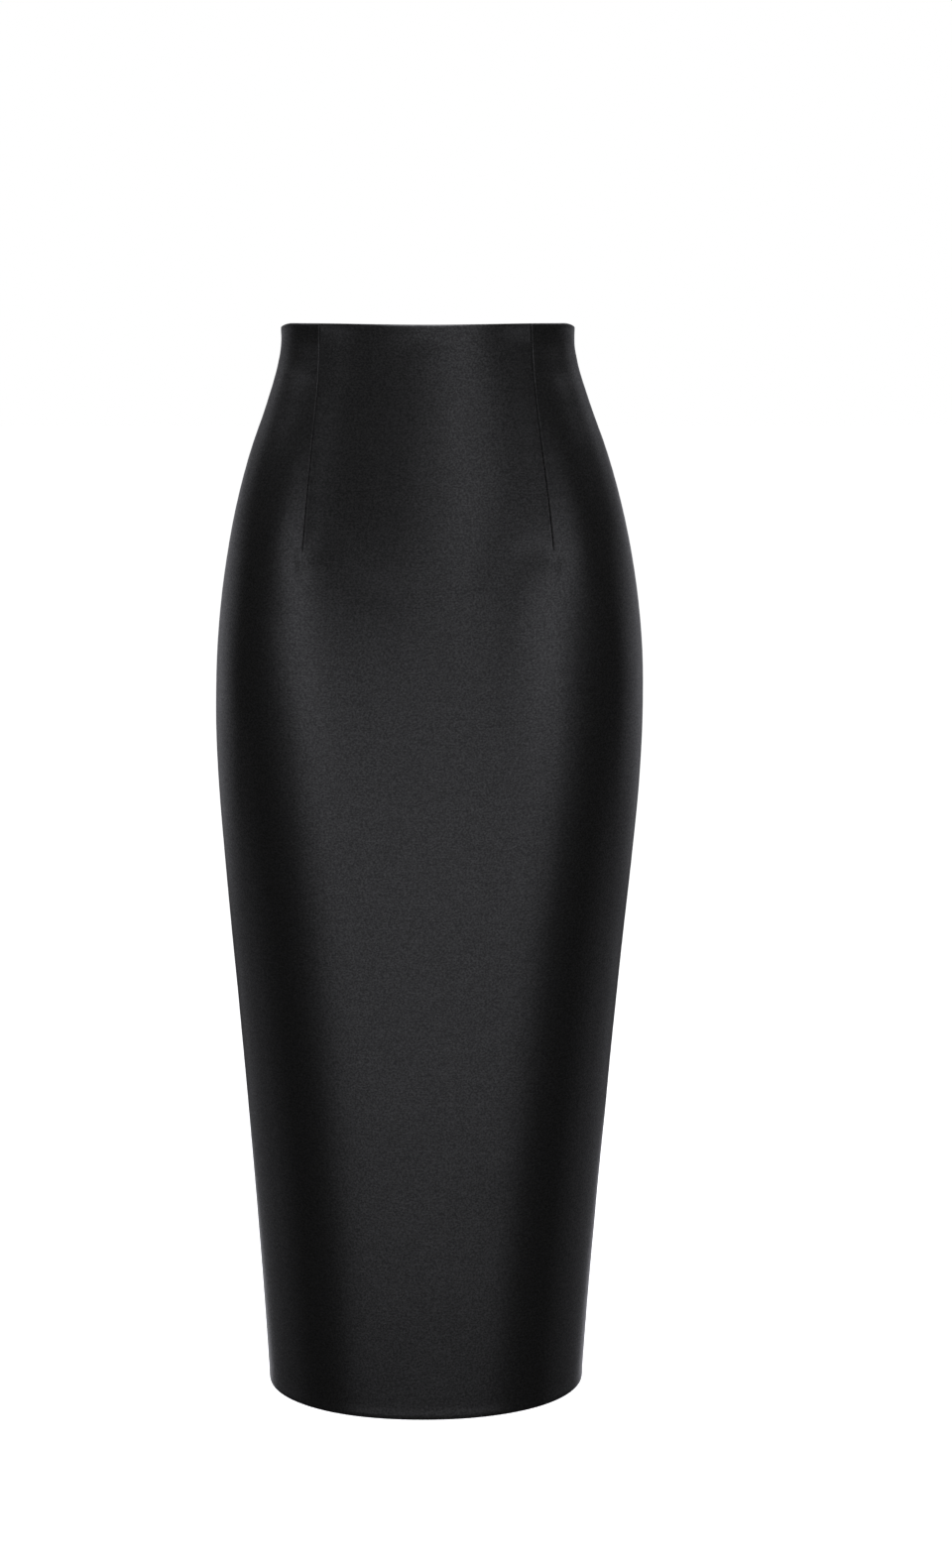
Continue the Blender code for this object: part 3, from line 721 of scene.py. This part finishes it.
def coil_nylon(name):
    """The zip's coil: black nylon wire, a little scuffed."""
    nodes = Nodes(name)
    nodes.settings(Specular_IOR_Level=0.5, Base_Color=(*NYLON_COLOUR, 1.0))
    scuffs = nodes.noise(nodes.on_object(), detail=2.0, roughness=0.5, scale=SCUFF_SCALE)
    nodes.drive("Roughness", nodes.ramp(scuffs, NOISE_RANGE, NYLON_ROUGHNESS))
    return nodes.material


# ---------------------------------------------------------------- the pieces

def turned_thickness(depths):
    """One layer of cloth, two where the waist edge and the hem are turned."""
    waist = 1.0 - smoothstep((depths - WAIST_TURNING) / TURNING_STEP)
    hem = smoothstep((depths - LENGTH + HEM_TURNING + TURNING_STEP) / TURNING_STEP)
    return CLOTH * (1.0 + waist + hem)


def front_edges(depths):
    seam = half_girth(FRONT, depths)
    return -seam, seam


def back_edges(side):
    """Edges of one back panel: the centre back one first."""
    def edges(depths):
        return side * centre_back_edge(depths), side * half_girth(BACK, depths)
    return edges


def panel_relief(facing, edges, depths, arcs):
    """Relief of a panel's outer face, with its edges rolled into their seams."""
    from_edges = [np.abs(arcs - edge[:, None]) for edge in edges(depths)]
    return outer_relief(facing, depths, arcs, from_edges)


def make_panel(name, facing, edges, columns, materials):
    depths = cloth_rows()
    arcs = columns(depths)
    relief = panel_relief(facing, edges, depths, arcs)
    panel = shell(name, facing, depths, arcs, -relief, turned_thickness(depths), materials, EDGE_ROUND)
    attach(panel, BODY)
    return panel


def strip(name, facing, edges, first, last, near, far, inset, thickness, material):
    """A strip of cloth on a panel's inside, between the arcs near(depths) and far(depths)."""
    rows = max(int((last - first) / STRIP_ROW), 2)
    depths = np.linspace(first + thickness / 2.0, last - thickness / 2.0, rows + 1)
    share = np.linspace(0.0, 1.0, STRIP_COLUMNS + 1)[None, :]
    arcs = near(depths)[:, None] * (1.0 - share) + far(depths)[:, None] * share
    relief = panel_relief(facing, edges, depths, arcs)
    return shell(name, facing, depths, arcs, inset - relief, np.full(len(depths), thickness),
                 (material,), thickness / 2.0, STRIP_FOLD)


def allowance(name, facing, edges, which, width, material):
    """The seam allowance along one edge of a panel, pressed open. width is a value for each depth."""
    def near(depths):
        return edges(depths)[which]

    def far(depths):
        left, right = edges(depths)
        inward = np.sign(right - left) * (1 if which == 0 else -1)
        return edges(depths)[which] + inward * width(depths)

    return strip(name, facing, edges, STRIPS_START, STRIPS_END, near, far,
                 CLOTH + LAYER_GAP, ALLOWANCE_CLOTH, material)


def dart_fold(name, facing, edges, dart, tip, side, material):
    """The dart's surplus cloth: a wedge, pressed towards the centre line."""
    def near(depths):
        return side * dart_arcs(facing, dart, depths, tip)

    def far(depths):
        line = side * dart_arcs(facing, dart, depths, tip)
        return line - np.sign(line) * DART_INTAKE * np.maximum(1.0 - depths / tip, DART_FOLD_LEAST)

    return strip(name, facing, edges, STRIPS_START, tip - DART_FADE / 2.0, near, far,
                 CLOTH + LAYER_GAP, 2.0 * ALLOWANCE_CLOTH, material)


def side_width(depths):
    return np.full(len(depths), SIDE_ALLOWANCE)


def slit_width(depths):
    """The centre back allowance, wider where it faces the slit."""
    rise = smoothstep((depths - LENGTH + SLIT_LENGTH + SLIT_FACING_RISE) / SLIT_FACING_RISE)
    return BACK_ALLOWANCE + (SLIT_FACING - BACK_ALLOWANCE) * rise


def make_front(face, reverse):
    front = make_panel("skirt_front", FRONT, front_edges, front_columns, (face, reverse))
    labels = ("right", "left")
    inside = [allowance("front_allowance_" + label, FRONT, front_edges, which, side_width, reverse)
              for which, label in enumerate(labels)]
    inside += [dart_fold("front_dart_" + label, FRONT, front_edges, "front_" + label,
                         FRONT_DART_LENGTH, 1, reverse) for label in labels]
    finish_panel("front", inside)


def make_back(side, label, face, reverse):
    node = "back_" + label
    edges = back_edges(side)
    panel = make_panel("skirt_" + node, BACK, edges, back_columns(side), (face, reverse))
    inside = [allowance("back_allowance_" + label, BACK, edges, 1, side_width, reverse),
              allowance("slit_facing_" + label, BACK, edges, 0, slit_width, reverse),
              dart_fold("back_dart_" + label, BACK, edges, "back", BACK_DART_LENGTH, side, reverse)]
    finish_panel(node, inside)


def finish_panel(node, inside):
    """Hides the panel's part of the model, and attaches the pieces on its inside to the body.
    """
    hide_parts(node)
    for piece in inside:
        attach(piece, BODY)


def make_tape(side, label, material):
    edges = back_edges(side)

    def near(depths):
        return np.full(len(depths), side * TAPE_EDGE)

    def far(depths):
        return np.full(len(depths), side * (TAPE_EDGE + TAPE_WIDTH))

    tape = strip("tape_" + label, BACK, edges, ZIP_TOP, ZIP_LENGTH, near, far, TAPE_INSET,
                 TAPE_THICKNESS, material)
    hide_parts("zip_tape_" + label)
    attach(tape, BODY)


def make_coil(side, label, material):
    """One side of the zip's coil: a flattened helix that locks between the other side's turns."""
    turns = int((ZIP_LENGTH - ZIP_TOP - 2.0 * COIL_END) / COIL_PITCH)
    steps = np.arange(turns * COIL_STEPS + 1)
    angles = 2.0 * math.pi * steps / COIL_STEPS
    stagger = COIL_STAGGER if side < 0 else 0.0
    depths = ZIP_TOP + COIL_END + COIL_PITCH * (steps / COIL_STEPS + stagger)
    arcs = side * (COIL_MIDDLE - COIL_REACH * np.cos(angles))
    insets = COIL_INSET + COIL_DEPTH * np.sin(angles)
    middle = cloth_points(BACK, depths, arcs[:, None], insets[:, None])[:, 0, :]
    coil = tube("coil_" + label, middle, COIL_WIRE, COIL_SIDES, material)
    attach(coil, BODY)


def tube(name, middle, radius, sides, material):
    """A round wire along the points of middle."""
    along = np.gradient(middle, axis=0)
    along /= np.linalg.norm(along, axis=1)[:, None]
    first = np.cross(along, np.array((0.0, 0.0, 1.0)))
    first /= np.linalg.norm(first, axis=1)[:, None]
    second = np.cross(along, first)
    turns = 2.0 * math.pi * np.arange(sides) / sides
    rings = (middle[:, None, :] + radius * (np.cos(turns)[None, :, None] * first[:, None, :]
                                            + np.sin(turns)[None, :, None] * second[:, None, :]))
    faces = [(i * sides + j, i * sides + (j + 1) % sides,
              (i + 1) * sides + (j + 1) % sides, (i + 1) * sides + j)
             for i in range(len(middle) - 1) for j in range(sides)]
    last = (len(middle) - 1) * sides
    faces.append(tuple(range(sides))[::-1])
    faces.append(tuple(last + j for j in range(sides)))
    return new_mesh_object(name, rings.reshape(-1, 3), faces, (material,))


def make_skirt():
    face = satin("satin_face", **SATIN_FACE)
    reverse = satin("satin_reverse", **SATIN_REVERSE)
    twill = woven_tape("zip_tape_twill")
    nylon = coil_nylon("zip_coil_nylon")
    metal = lacquered_metal("zip_lacquer")

    make_front(face, reverse)
    for side, label in ((1, "left"), (-1, "right")):
        make_back(side, label, face, reverse)
        make_tape(side, label, twill)
        make_coil(side, label, nylon)
    for node in ("zip_slider", "zip_pull"):
        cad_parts[node].data.materials.clear()
        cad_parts[node].data.materials.append(metal)


# ---------------------------------------------------------------- studio

WHITE = (1.0, 1.0, 1.0, 1.0)
FLOOR_COLOUR = (0.85, 0.85, 0.85, 1.0)
FLOOR_ROUGHNESS = 0.8
FLOOR_LEVEL = -1.25
FLOOR_SIZE = 60.0
FLOOR_GLOW = 1.00
AMBIENT = 0.02              # light from all round, beside the softboxes
CAMERA_PLACE = Vector((0.0, -2.5815, 0.0195))
CAMERA_TILT = math.radians(8.471)   # down
CAMERA_YAW = math.radians(0.8552)   # towards the wearer's left
CAMERA_LENS = 75.0
CAMERA_SENSOR = 36.0

# Strips of round softboxes, turned to the skirt's middle. Each strip runs straight from one place to
# another, both seen from there, in degrees: bearing 0 is where the camera stands, 90 the wearer's left,
# and elevation 0 is level. half_angle is half of the angle that one softbox fills.
LAMP_COLUMNS = ("bearing", "elevation", "to_bearing", "to_elevation", "half_angle", "brightness")
LAMP_STRIPS = (
    # overhead
    (0.0, 55.0, 0.0, 55.0, 20.0, 6.00),
    # a low wall in front, which the cloth from hip to hem mirrors
    (-40.0, -22.0, 38.0, -22.0, 7.0, 0.38),
    (-30.0, -15.0, 38.0, -15.0, 7.0, 0.30),
    (-25.0, -8.0, 25.0, -8.0, 7.0, 0.30),
    (-25.0, -1.0, 8.0, -1.0, 7.0, 0.22),
    # a slanting strip on each side, for the bright band outside each dart
    (-35.0, -8.0, -60.0, 13.0, 7.0, 1.00),
    (30.0, -1.0, 60.0, 13.0, 7.0, 0.90),
    (38.0, -8.0, 45.0, -8.0, 7.0, 0.50),
    # an upright strip beside the camera, for the bright band down the middle
    (8.0, -1.0, 8.0, 13.0, 7.0, 0.70),
    (8.0, 13.0, 30.0, 28.0, 7.0, 0.60),
    # dim fill at the sides
    (-120.0, 36.0, -90.0, 36.0, 12.0, 0.60),
    (105.0, 36.0, 135.0, 36.0, 12.0, 0.80),
    (-150.0, 18.0, -130.0, 18.0, 10.0, 0.13),
    (130.0, 18.0, 150.0, 18.0, 10.0, 0.13),
    (-150.0, -4.0, -120.0, -4.0, 12.0, 0.22),
    (115.0, -4.0, 150.0, -4.0, 12.0, 0.22),
    (-145.0, -24.0, -95.0, -24.0, 12.0, 0.10),
    (95.0, -24.0, 145.0, -24.0, 12.0, 0.10),
    # a wall behind, for the back, weak where it would whiten the rims
    (165.0, 32.0, 195.0, 32.0, 14.0, 0.90),
    (170.0, 4.0, 190.0, 4.0, 14.0, 0.20),
    (165.0, -36.0, 195.0, -36.0, 14.0, 0.50),
)
LAMP_RING = 2.4             # distance on the level from the skirt's middle to each softbox
LAMP_AIM = Vector((0.0, 0.0, -0.25))    # the skirt's middle, for the softboxes
LAMP_SPACING = 1.2          # between neighbours in a strip, in half angles
LAMP_COLOUR = (0.974, 0.974, 1.052)


def direction(bearing, elevation):
    """Unit vector from the skirt: bearing 0 points to -Y, and a quarter turn points to +X."""
    level = math.cos(elevation)
    return Vector((math.sin(bearing) * level, -math.cos(bearing) * level, math.sin(elevation)))


def make_lamp(bearing, elevation, half_angle, brightness):
    """One softbox. Its brightness is that of its face, whatever its size."""
    ray = direction(bearing, elevation)
    distance = LAMP_RING / math.cos(elevation)
    radius = distance * math.tan(half_angle)
    light = bpy.data.lights.new("softbox", "AREA")
    light.shape = "DISK"
    light.size = 2.0 * radius
    light.energy = brightness * (math.pi * radius) ** 2
    light.color = LAMP_COLOUR
    lamp = bpy.data.objects.new("softbox", light)
    lamp.location = LAMP_AIM + ray * distance
    lamp.rotation_mode = "QUATERNION"
    lamp.rotation_quaternion = (-ray).to_track_quat("-Z", "Y")
    lamp.visible_camera = False
    bpy.context.collection.objects.link(lamp)


def make_lamps():
    for values in LAMP_STRIPS:
        row = dict(zip(LAMP_COLUMNS, values))
        turn = row["to_bearing"] - row["bearing"]
        rise = row["to_elevation"] - row["elevation"]
        steps = round(math.hypot(turn, rise) / (LAMP_SPACING * row["half_angle"]))
        for step in range(steps + 1):
            share = step / max(steps, 1)
            make_lamp(math.radians(row["bearing"] + turn * share),
                      math.radians(row["elevation"] + rise * share),
                      math.radians(row["half_angle"]), row["brightness"])


def make_camera():
    data = bpy.data.cameras.new("camera")
    data.lens = CAMERA_LENS
    data.sensor_width = CAMERA_SENSOR
    data.clip_end = FLOOR_SIZE
    camera = bpy.data.objects.new("camera", data)
    camera.location = CAMERA_PLACE
    ahead = direction(math.pi - CAMERA_YAW, -CAMERA_TILT)
    camera.rotation_mode = "QUATERNION"
    camera.rotation_quaternion = ahead.to_track_quat("-Z", "Y")
    bpy.context.collection.objects.link(camera)
    bpy.context.scene.camera = camera


def make_world():
    """Dim all round, and plain white where the camera looks past the skirt."""
    world = bpy.data.worlds.new("studio")
    world.use_nodes = True
    tree = world.node_tree
    ground = tree.nodes["Background"]
    ground.inputs["Color"].default_value = WHITE
    path = tree.nodes.new("ShaderNodeLightPath")
    brightness = tree.nodes.new("ShaderNodeMapRange")
    brightness.inputs["To Min"].default_value = AMBIENT
    tree.links.new(path.outputs["Is Camera Ray"], brightness.inputs["Value"])
    tree.links.new(brightness.outputs["Result"], ground.inputs["Strength"])
    bpy.context.scene.world = world


def make_floor():
    """A white floor that glows by itself, and throws no light on the skirt."""
    bpy.ops.mesh.primitive_plane_add(size=FLOOR_SIZE, location=(0.0, 0.0, FLOOR_LEVEL))
    floor = bpy.context.active_object
    floor.name = "floor"
    nodes = Nodes("floor_white")
    nodes.settings(Base_Color=FLOOR_COLOUR, Roughness=FLOOR_ROUGHNESS, Specular_IOR_Level=0.0,
                   Emission_Color=WHITE, Emission_Strength=FLOOR_GLOW)
    floor.data.materials.append(nodes.material)
    floor.visible_glossy = False
    floor.visible_diffuse = False
    floor.visible_shadow = False


def make_studio():
    make_lamps()
    make_world()
    make_floor()
    scene = bpy.context.scene
    scene.view_settings.view_transform = "Standard"
    scene.view_settings.look = "None"


make_skirt()
make_camera()
make_studio()
